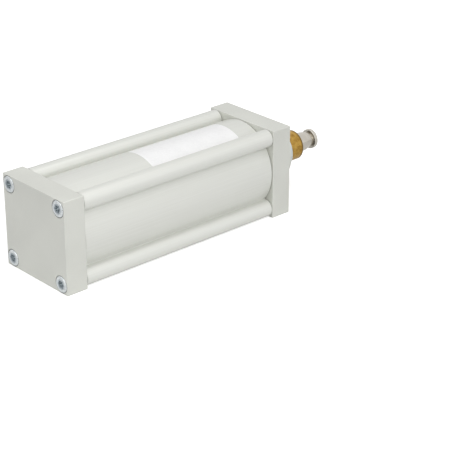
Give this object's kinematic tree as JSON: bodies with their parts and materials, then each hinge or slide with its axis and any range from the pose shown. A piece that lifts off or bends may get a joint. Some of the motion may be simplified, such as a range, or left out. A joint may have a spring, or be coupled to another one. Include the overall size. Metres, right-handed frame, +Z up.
{
  "type": "pneumatic cylinder",
  "caption": "Double-acting pneumatic cylinder: round-bore extruded barrel with corner screw lobes, square end caps, threaded gland and a sliding piston rod with a coupling head.",
  "frame": {"origin": "centre of the rear cap's outer face, on the cylinder's axis", "axes": "+X along the axis towards the rod end, +Z up, the air ports open towards +Y"},
  "size_m": [0.2875, 0.075, 0.075],
  "materials": {
    "anodised_profile": "satin natural anodised extrusion",
    "anodised_cap": "bead-blasted and natural anodised, machined",
    "gasket_fibre": "compressed fibre sheet, light grey",
    "nitrile": "moulded black nitrile rubber",
    "zinc_steel": "bright zinc plated steel",
    "turned_brass": "turned brass",
    "sintered_bronze": "sintered bronze",
    "polyurethane": "cast polyurethane",
    "acetal": "natural acetal",
    "cast_aluminium": "turned aluminium",
    "plastic_ferrite": "plastic-bonded ferrite",
    "hard_chrome": "ground and hard chrome plated steel",
    "turned_steel": "turned nickel plated steel"
  },
  "bodies": {
    "cylinder": {"barrel": "anodised_profile", "rear_cap": "anodised_cap", "front_cap": "anodised_cap", "rear_gasket": "gasket_fibre", "front_gasket": "gasket_fibre", "rear_o_ring": "nitrile", "front_o_ring": "nitrile", "rear_buffer": "nitrile", "front_buffer": "nitrile", "rear_cap_screws": "zinc_steel", "front_cap_screws": "zinc_steel", "lock_ring": "zinc_steel", "brass_gland": "turned_brass", "guide_bush": "sintered_bronze", "rod_seal": "polyurethane", "rod_wiper": "polyurethane"},
    "piston_seals": {"guide_band": "acetal", "rear_piston_seal": "polyurethane", "front_piston_seal": "polyurethane"},
    "rod": {"rear_piston_half": "cast_aluminium", "front_piston_half": "cast_aluminium", "piston_magnet": "plastic_ferrite", "piston_washer": "zinc_steel", "piston_nut": "zinc_steel", "piston_rod": "hard_chrome", "coupling_head": "turned_steel"}
  },
  "joints": [
    {"name": "rod_stroke", "type": "slide", "parent": "cylinder", "child": "piston_seals", "axis": [1, 0, 0], "range_m": [0, 0.15]},
    {"name": "rod_turn", "type": "hinge", "parent": "piston_seals", "child": "rod", "pos_m": [0.0375, 0, 0], "axis": [1, 0, 0], "continuous": true}
  ]
}
